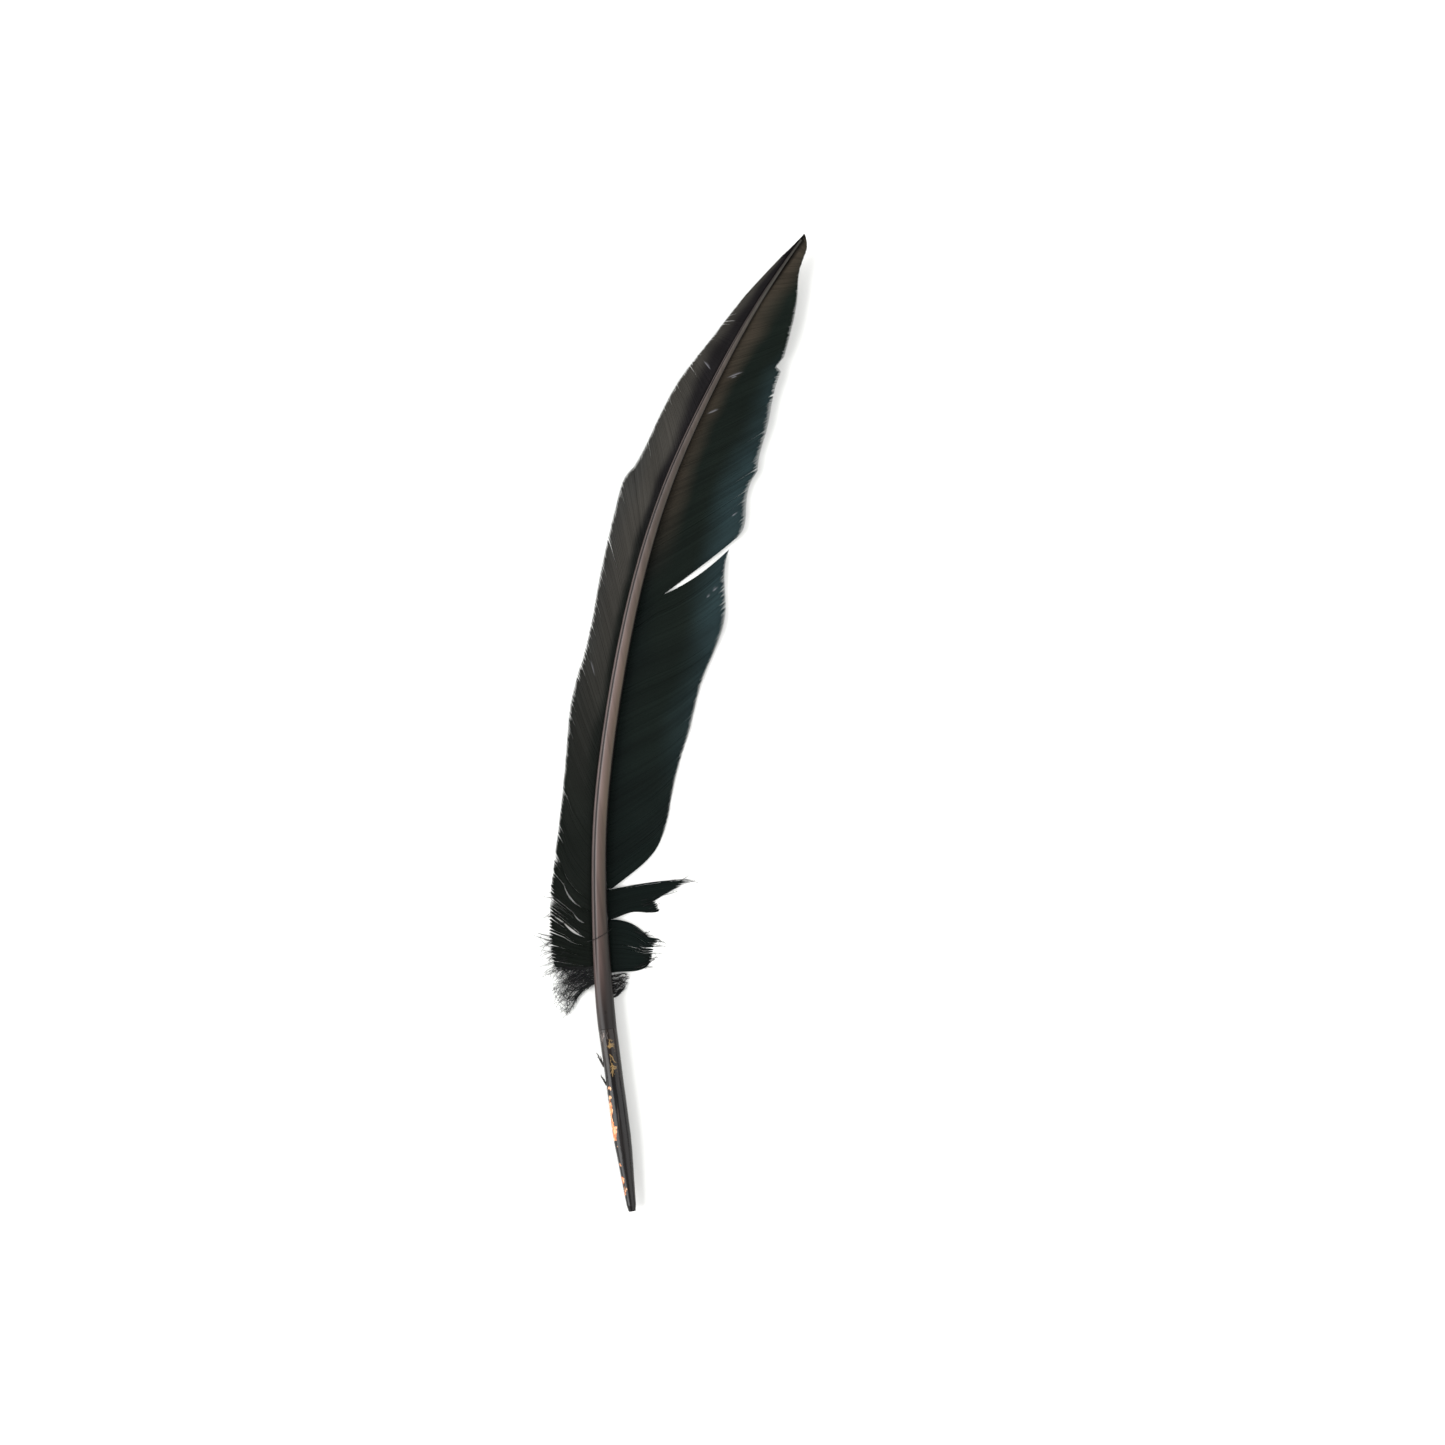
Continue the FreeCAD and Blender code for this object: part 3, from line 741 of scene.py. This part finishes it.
web_of_barbs("inner_web_tip", INNER, 0.352, 1.0, bow=-0.03, fringe=0.1, rough=0.7,
             pale=[(0.12, 0.1, 0.4), (0.10, 0.2, 0.3)])
web_of_barbs("inner_web_upper", INNER, 0.379, 0.753, bow=-0.03, fringe=0.14, rough=0.8,
             splits=[(0.72, 0.10, 0.5)], pale=[(0.86, 0.06, 0.24)])
web_of_barbs("inner_web_middle", INNER, 0.415, 0.631, bow=-0.02, fringe=0.12, rough=0.8,
             pale=[(0.55, 0.84, 0.90)])
web_of_barbs("inner_web_lower", INNER, 0.14, 0.765, bow=-0.03, fringe=0.12, rough=0.8,
             pale=[(0.9, 0.84, 0.9), (0.895, 0.78, 0.82)])
LOBES = [
    web_of_barbs("inner_lobe_upper", INNER, 0.27, 0.55, pitch=0.36, rough=1.3, fringe=0.8),
    web_of_barbs("inner_lobe_lower", INNER, 0.30, 0.54, pitch=0.36, rough=1.3, fringe=0.9,
                 splits=[(0.62, 0.45, 0.5)]),
]
web_of_barbs("outer_web_upper", OUTER, 0.214, 1.0, bow=0.03, fringe=0.22, relief=0.45,
             pale=[(0.46, 0.25, 0.75)])
web_of_barbs("outer_web_lower", OUTER, 0.12, 0.854, bow=0.03, fringe=0.25, relief=0.45,
             pale=[(0.52, 0.55, 0.85)])
GROUP_CORNERS = [(0.40, 0.547), (0.41, 0.559), (0.406, 0.563), (0.269, 0.64)]
BARB_GROUPS = [
    web_of_barbs(f"outer_barb_group_{number}", OUTER, *corners, pitch=0.22, fringe=0.9,
                 inset=0.35, rough=1.2)
    for number, corners in enumerate(GROUP_CORNERS, start=1)
]


# ------------------------------------------------------------------ shaft and tube


# Shares of the half width at which the groove and the lip beside it run.
GROOVE_AT = -0.56
LIP_AT = -0.84
SHAFT_SIDES = 56
SHAFT_STEP = 0.6
# The shaft is round at its foot and a flat band after this length.
SETTLE_LENGTH = 34.0


def hump(value, middle, width):
    return np.exp(-(((value - middle) / width) ** 2))


def rachis():
    """The horn shaft: a flat band with a ridge and a groove at its left."""
    start = SHAFT[1, 0]
    stations = np.concatenate(
        [[start - 0.25], np.arange(start, SHAFT_TIP, SHAFT_STEP), [SHAFT_TIP]]
    )
    sides = SHAFT_SIDES
    angle = np.linspace(0.0, 2.0 * math.pi, sides, endpoint=False)
    top = smooth(np.sin(angle), 0.1, 0.6)
    rings = []
    values = {
        key: [] for key in ("edge", "groove", "right", "height", "lowness", "foot", "tip")
    }
    dice = np.random.default_rng(11)
    ridges = wander(sides, 15, dice) * 0.03
    ridges[-1] = ridges[0]
    for at in stations:
        settle = smooth(at, start, start + SETTLE_LENGTH)
        power = 2.0 / (2.0 + 1.3 * settle)
        half, tall = on_line(at, HALF_WIDTH), on_line(at, HALF_HEIGHT)
        flat = np.sign(np.cos(angle)) * np.abs(np.cos(angle)) ** power
        up = np.sign(np.sin(angle)) * np.abs(np.sin(angle)) ** power
        dip = hump(flat, GROOVE_AT, 0.12) * top * settle
        lip = hump(flat, LIP_AT, 0.11) * top * settle
        thin = min(1.0, tall / 1.2)
        rise = tall * up - 0.42 * dip * thin + 0.06 * lip * thin + ridges * top * settle * tall
        out = half * flat
        normal = line_normal(at)
        ring = np.zeros((sides, 3))
        ring[:, 0] = on_line(at, CENTRE_X) + out * normal[0]
        ring[:, 1] = at + out * normal[1]
        ring[:, 2] = on_line(at, CENTRE_Z) + rise
        rings.append(ring)
        # Masks for the painted shade on the rims and in the groove, and for the change from painted
        # highlight at the left to painted shade at the right.
        left_rim = smooth(-flat, 0.88, 0.98) + 0.6 * smooth(-flat, 0.5, 0.62)
        rim = np.maximum(smooth(flat, 0.66, 0.92), left_rim)
        values["edge"].append(np.clip(rim + (1.0 - top), 0.0, 1.0) * (0.35 + 0.65 * settle))
        values["groove"].append(hump(flat, GROOVE_AT, 0.15) * top * settle)
        values["right"].append(smooth(flat, -0.75, 0.9))
        values["height"].append(np.full(sides, smooth(at, 150.0, 225.0)))
        values["lowness"].append(np.full(sides, 1.0 - smooth(at, 62.0, 128.0)))
        values["foot"].append(np.full(sides, 1.0 - smooth(at, start, start + 22.0)))
        values["tip"].append(np.full(sides, smooth(at, 245.0, 278.0)))
    vertices, faces = many_tubes([np.array(rings)[None]])
    piece = new_piece("rachis_horn", vertices, faces, shaft_material(), ["rachis_cortex"])
    for key, rows in values.items():
        write_values(piece, key, np.concatenate(rows))


HORN_WALL = 0.35
OPENING_RADIUS = 0.8
OPENING_DEPTH = 3.0
TUBE_SIDES = 64
DENT_DEPTH = 0.035
# Angles round the tube, from +X towards +Z.
FLAKES_AT = 2.5
CRACK_AT = 2.1
SCRATCH_AT = 1.45


def tube_profile():
    """Stations and radii of the lathe form, and which of them are its outer skin."""
    places, triangles = node_mesh("calamus_barrel")
    top = places[:, 1].max()
    stations = np.concatenate([np.linspace(0.02, 4.0, 14), np.arange(4.5, top - 0.05, 0.45)])
    radius = np.array([cut_across(places, triangles, at)[:, 0].max() for at in stations])
    inner_stations = stations[(stations > OPENING_DEPTH + 0.4) & (stations < top - 1.5)]
    inner_radius = np.interp(inner_stations, stations, radius) - HORN_WALL
    profile = [(top, 0.02), (top, radius[-1] * 0.98)]
    profile += list(zip(stations[::-1], radius[::-1]))
    skin_count = len(profile) + 1
    profile += [(0.0, radius[0] - 0.08), (0.0, OPENING_RADIUS + 0.06)]
    profile += [(0.1, OPENING_RADIUS), (OPENING_DEPTH, OPENING_RADIUS)]
    profile += list(zip(inner_stations, inner_radius))
    profile += [(inner_stations[-1] + 0.3, 0.02)]
    return np.array(profile), np.arange(len(profile)) < skin_count, top


def tube():
    """The hollow horn tube: a lathe form with slight flats, dents and an open lower end."""
    profile, outside, top = tube_profile()
    angle = np.linspace(0.0, 2.0 * math.pi, TUBE_SIDES, endpoint=False)
    dice = np.random.default_rng(5)
    flats = 0.03 * np.sin(angle * 3.0 + 0.6) + 0.02 * np.sin(angle * 5.0 + 2.0)
    dents = np.stack([wander(len(profile), 26, dice) for _ in range(9)], axis=1)
    dents = np.concatenate([dents, dents[:, :1]], axis=1)
    dent_angles = np.linspace(0.0, 2.0 * math.pi, dents.shape[1])
    rings = []
    values = {key: [] for key in ("orange", "olive", "crack_and_glint", "upper")}
    for (at, radius), skin, row in zip(profile, outside, dents):
        body = smooth(at, 4.0, 14.0) * (1.0 - smooth(at, 48.0, top))
        dent = DENT_DEPTH * np.interp(angle, dent_angles, row)
        radial = radius + ((flats + dent) * body if skin else 0.0)
        ring = np.zeros((TUBE_SIDES, 3))
        ring[:, 0] = radial * np.cos(angle)
        ring[:, 1] = at
        ring[:, 2] = radial * np.sin(angle) + on_line(0.0, CENTRE_Z)
        rings.append(ring)
        left = np.exp(-(((angle - FLAKES_AT - 0.15 * math.sin(at * 0.45)) / 0.45) ** 2))
        heavy = smooth(at, 21.0, 25.0) * (1.0 - smooth(at, 34.0, 38.0))
        light = smooth(at, 2.0, 7.0) * (1.0 - smooth(at, 38.0, 42.0))
        values["orange"].append(left * (0.3 * heavy + 0.42 * light) * skin)
        scratched = smooth(at, 38.0, 42.0) * (1.0 - smooth(at, 51.0, 54.0))
        values["olive"].append(hump(angle, SCRATCH_AT, 0.42) * scratched * skin)
        values["crack_and_glint"].append(hump(angle, CRACK_AT, 0.5) * smooth(at, 50.5, 52.5) * skin)
        values["upper"].append(np.full(TUBE_SIDES, smooth(at, 36.0, 54.0)))
    vertices, faces = many_tubes([np.array(rings)[None]])
    piece = new_piece("calamus_horn", vertices, faces, tube_material(), ["calamus_barrel"])
    for key, rows in values.items():
        write_values(piece, key, np.concatenate(rows))


rachis()
tube()


# ------------------------------------------------------------------ down and loose barbs


BARBULE_RADIUS = 0.035


def strand(path, radius, dice, barbules=0, barbule_length=1.0, sides=4):
    """One thin tapering thread and the short barbules along both its sides."""
    path = np.asarray(path)
    ahead = np.gradient(path, axis=0)
    ahead /= np.linalg.norm(ahead, axis=1)[:, None] + 1e-9
    across = np.cross(np.broadcast_to(UP, ahead.shape), ahead)
    across /= np.linalg.norm(across, axis=1)[:, None] + 1e-9
    above = np.cross(ahead, across)
    taper = radius * (1.0 - 0.75 * np.linspace(0.0, 1.0, len(path)) ** 1.5)
    angle = np.linspace(0.0, 2.0 * math.pi, sides, endpoint=False)
    ring = (
        across[:, None, :] * np.cos(angle)[None, :, None]
        + above[:, None, :] * np.sin(angle)[None, :, None]
    )
    blocks = [(path[:, None, :] + ring * taper[:, None, None])[None]]
    for _ in range(barbules):
        k = dice.integers(2, len(path) - 1)
        side = dice.choice((-1.0, 1.0))
        direction = ahead[k] * dice.uniform(0.5, 1.2) + across[k] * side
        direction = direction + UP * dice.normal(0.0, 0.2)
        direction /= np.linalg.norm(direction)
        length = barbule_length * dice.uniform(0.4, 1.0)
        bend = ahead[k] * length * dice.uniform(0.0, 0.35)
        part = np.linspace(0.0, 1.0, 4)[:, None]
        thread = path[k] + direction * length * part + bend * part ** 2
        blocks.append(strand(thread, BARBULE_RADIUS, dice, sides=3)[0])
    return blocks


def grouped(blocks):
    """Tubes with the same number of rings and sides, put together."""
    by_shape = {}
    for block in blocks:
        by_shape.setdefault(block.shape[1:3], []).append(block)
    return [np.concatenate(rows) for rows in by_shape.values()]


TUFT_STEPS = 22


def down_tuft(name, side, low_corner, high_corner, count, spread, radius, barbules, barbule_length):
    """Loose downy barbs that spread through a tuft's outline."""
    dice = np.random.default_rng(sum(map(ord, name)))
    web = Web(name, side, low_corner, high_corner)
    blocks = []
    for number in range(count):
        across = (number + 0.5) / count
        along = np.linspace(0.0, dice.uniform(0.7, 1.08), TUFT_STEPS)
        sway = wander(TUFT_STEPS, 3, dice) * 0.6 + dice.normal(0.0, 0.35)
        plan = web.places(across + spread * sway * along / web.root_length, along, 0.0)
        height = soften(web.heights(plan), 4) - 0.2
        height = height + 0.5 * along ** 1.5 * dice.uniform(-0.3, 1.0)
        height = height + 0.1 * wander(TUFT_STEPS, 4, dice)
        path = np.concatenate([plan, height[:, None]], axis=1)
        blocks += strand(path, radius, dice, barbules, barbule_length)
    vertices, faces = many_tubes(grouped(blocks))
    new_piece(name + "_down", vertices, faces, DOWN_PAINT, [name])


down_tuft("outer_down_tuft", OUTER, 0.341, 0.717, count=80, spread=5.0, radius=0.1, barbules=34,
          barbule_length=1.1)
down_tuft("inner_curled_tuft", INNER, 0.3, 0.62, count=40, spread=2.5, radius=0.13, barbules=16,
          barbule_length=0.8)


WISP_STEPS = 20
WISP_RADIUS = 0.085
# Loose barbs stay this far above the feather's lowest point.
WISP_CLEARANCE = 0.12
# Loose barbs on the narrow side lean this many degrees towards the tube.
OUTER_LEAN = 28.0


def loose_barb(start, heading, length, curl, dice):
    """A thin barb that leaves a point and bends; short barbules line it."""
    part = np.linspace(0.0, 1.0, WISP_STEPS)
    turn = np.radians(heading) + np.radians(dice.uniform(-30.0, 30.0)) * curl * part ** 1.3
    step = length / (WISP_STEPS - 1.0)
    x = start[0] + np.concatenate([[0.0], np.cumsum(np.cos(turn[1:]) * step)])
    y = start[1] + np.concatenate([[0.0], np.cumsum(np.sin(turn[1:]) * step)])
    z = start[2] + dice.uniform(-0.5, 0.3) * part + 0.15 * wander(WISP_STEPS, 3, dice)
    z = np.maximum(z, cad_low.z / MM + WISP_CLEARANCE)
    path = np.stack([x, y, z], axis=1)
    return strand(path, WISP_RADIUS, dice, int(length * 2.2), 0.9)


def wisps():
    """Single loose barbs: at the torn lobes, low on the narrow side and across the shaft."""
    dice = np.random.default_rng(21)
    blocks = []
    upper_lobe, lower_lobe = LOBES
    sets = (
        # web, count, stretch of its outer path, reach, spread in degrees, curl
        (lower_lobe, 26, (0.28, 0.66), 4.6, 26.0, 1.3),
        (upper_lobe, 16, (0.26, 0.62), 5.0, 20.0, 1.1),
        (BARB_GROUPS[-1], 60, (0.08, 0.5), 7.0, 34.0, 2.2),
        (BARB_GROUPS[-2], 14, (0.35, 0.6), 4.0, 30.0, 1.6),
    )
    for web, count, stretch, reach, spread, curl in sets:
        for _ in range(count):
            share = dice.uniform(*stretch)
            end = web.on_outer(np.array([share]))[0]
            across = np.clip((share - web.low) / (web.high - web.low), 0.0, 1.0)
            root = web.on_root(np.array([across]))[0]
            plan = root + (end - root) * dice.uniform(0.55, 0.97)
            height = web.heights(plan[None])[0] - 0.1
            heading = math.degrees(math.atan2(end[1] - root[1], end[0] - root[0]))
            if web.side < 0:
                heading += OUTER_LEAN
            start = np.array([plan[0], plan[1], height])
            blocks += loose_barb(start, heading + dice.uniform(-spread, spread),
                                 reach * dice.uniform(0.5, 1.15), curl, dice)
    vertices, faces = many_tubes(grouped(blocks))
    new_piece("loose_barbs", vertices, faces, DOWN_PAINT, [])
    # One dark barb lies across the shaft, just above the tube.
    low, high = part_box("outer_barb_group_4")
    at = (low.y + high.y) / 2.0 / MM
    part = np.linspace(-1.0, 1.0, 26)
    path = np.stack([
        on_line(at, CENTRE_X) + part * 4.2,
        at + part * 1.6 + 0.5 * part ** 2,
        on_line(at, CENTRE_Z) + on_line(at, HALF_HEIGHT) + 0.12 - 0.9 * part ** 4,
    ], axis=1)
    vertices, faces = many_tubes(grouped(strand(path, 0.11, dice, 6, 0.5)))
    new_piece("crossing_barb", vertices, faces, DOWN_PAINT, [])


STUB_STRANDS = 7
STUB_STEPS = 12
# Stubs further apart than this along the tube are separate.
STUB_GAP = 0.8


def stubs():
    """Broken barbs on the tube, in place of the CAD stubs: one thick strand and thinner ones."""
    dice = np.random.default_rng(31)
    places, _ = node_mesh("barb_stubs")
    places = places[np.argsort(places[:, 1])]
    breaks = np.nonzero(np.diff(places[:, 1]) > STUB_GAP)[0] + 1
    part = np.linspace(0.0, 1.0, STUB_STEPS)[:, None]
    sag = np.array([0.0, -0.35, 0.1])
    blocks = []
    for group in np.split(places, breaks):
        out = np.hypot(group[:, 0], group[:, 2])
        root, tip = group[out < out.min() + 0.25].mean(0), group[np.argmax(out)]
        # The strands start a little inside the horn.
        buried = root * 0.92
        for number in range(STUB_STRANDS):
            thick = number == 0
            end = root + (tip - root) * (0.72 if thick else 0.6) + dice.normal(0.0, 0.28, 3)
            share = 1.0 if thick else dice.uniform(0.5, 0.85)
            path = buried + (end - buried) * part * share
            path = path + sag * part ** 2 * dice.uniform(0.2, 1.0)
            rough = np.stack([wander(STUB_STEPS, 4, dice) for _ in range(3)], axis=1)
            path = path + 0.2 * rough * part
            blocks += strand(path, 0.3 if thick else 0.18, dice, 6, 0.45, sides=6)
    vertices, faces = many_tubes(grouped(blocks))
    new_piece("broken_barb_stubs", vertices, faces, STUB_PAINT, ["barb_stubs"])


wisps()
stubs()


# ------------------------------------------------------------------ CAD pieces that stay


for node, paint, slot in (
    ("rachis_pith", PITH_PAINT, "pith"),
    ("pulp_caps", MEMBRANE_PAINT, "membrane"),
    ("upper_pore_plug", PLUG_PAINT, "membrane"),
):
    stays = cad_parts[node]
    stays.data.materials.clear()
    stays.data.materials.append(paint)


# ------------------------------------------------------------------ stage, light and camera


FLOOR_REACH = 3.0
WORLD_LIGHT = 0.62
LENS = 85.0
SENSOR_WIDTH = 36.0
# The camera looks straight down from this height, above a point given in feather lengths.
CAMERA_HEIGHT = 1.034
CAMERA_PLACE = (0.1642, 0.5003)
CAMERA_TURN = -7.7


def stage():
    """A plain pale floor just under the feather."""
    mesh = bpy.data.meshes.new("floor")
    middle = (cad_low + cad_high) / 2.0
    corners = [(-1, -1), (1, -1), (1, 1), (-1, 1)]
    mesh.from_pydata(
        [(middle.x + x * FLOOR_REACH, middle.y + y * FLOOR_REACH, cad_low.z) for x, y in corners],
        [], [(0, 1, 2, 3)]
    )
    floor = bpy.data.objects.new("floor", mesh)
    bpy.context.scene.collection.objects.link(floor)
    first, second = (0.905, 0.91, 0.89, 1.0), (0.92, 0.92, 0.905, 1.0)
    mesh.materials.append(
        plain_material("pale_floor", first, second, scale=3.0, roughness=0.8, specular=0.0)
    )


def area_light(name, place, length, height, power, aim):
    light = bpy.data.lights.new(name, "AREA")
    light.energy = power
    light.shape = "RECTANGLE"
    light.size = length
    light.size_y = height
    holder = bpy.data.objects.new(name, light)
    bpy.context.scene.collection.objects.link(holder)
    holder.location = place
    direction = aim - holder.location
    holder.rotation_euler = direction.to_track_quat("-Z", "Y").to_euler()


def studio():
    """A white world, a wide soft light on each side, and a camera straight above."""
    scene = bpy.context.scene
    world = bpy.data.worlds.new("studio")
    world.use_nodes = True
    background = world.node_tree.nodes["Background"]
    background.inputs["Color"].default_value = (1.0, 1.0, 1.0, 1.0)
    background.inputs["Strength"].default_value = WORLD_LIGHT
    scene.world = world
    scene.view_settings.view_transform = "Standard"
    aim = (cad_low + cad_high) / 2.0
    left, right = Vector((-1.2, aim.y + 0.1, 0.82)), Vector((1.35, aim.y - 0.25, 1.4))
    area_light("soft_left", left, length=1.7, height=1.2, power=38.0, aim=aim)
    area_light("soft_right", right, length=2.2, height=2.2, power=25.0, aim=aim)
    data = bpy.data.cameras.new("camera")
    data.lens = LENS
    data.sensor_width = SENSOR_WIDTH
    holder = bpy.data.objects.new("camera", data)
    scene.collection.objects.link(holder)
    span = cad_high.y - cad_low.y
    holder.location = (CAMERA_PLACE[0] * span, CAMERA_PLACE[1] * span, CAMERA_HEIGHT)
    holder.rotation_euler = (0.0, 0.0, math.radians(CAMERA_TURN))
    scene.camera = holder


stage()
studio()
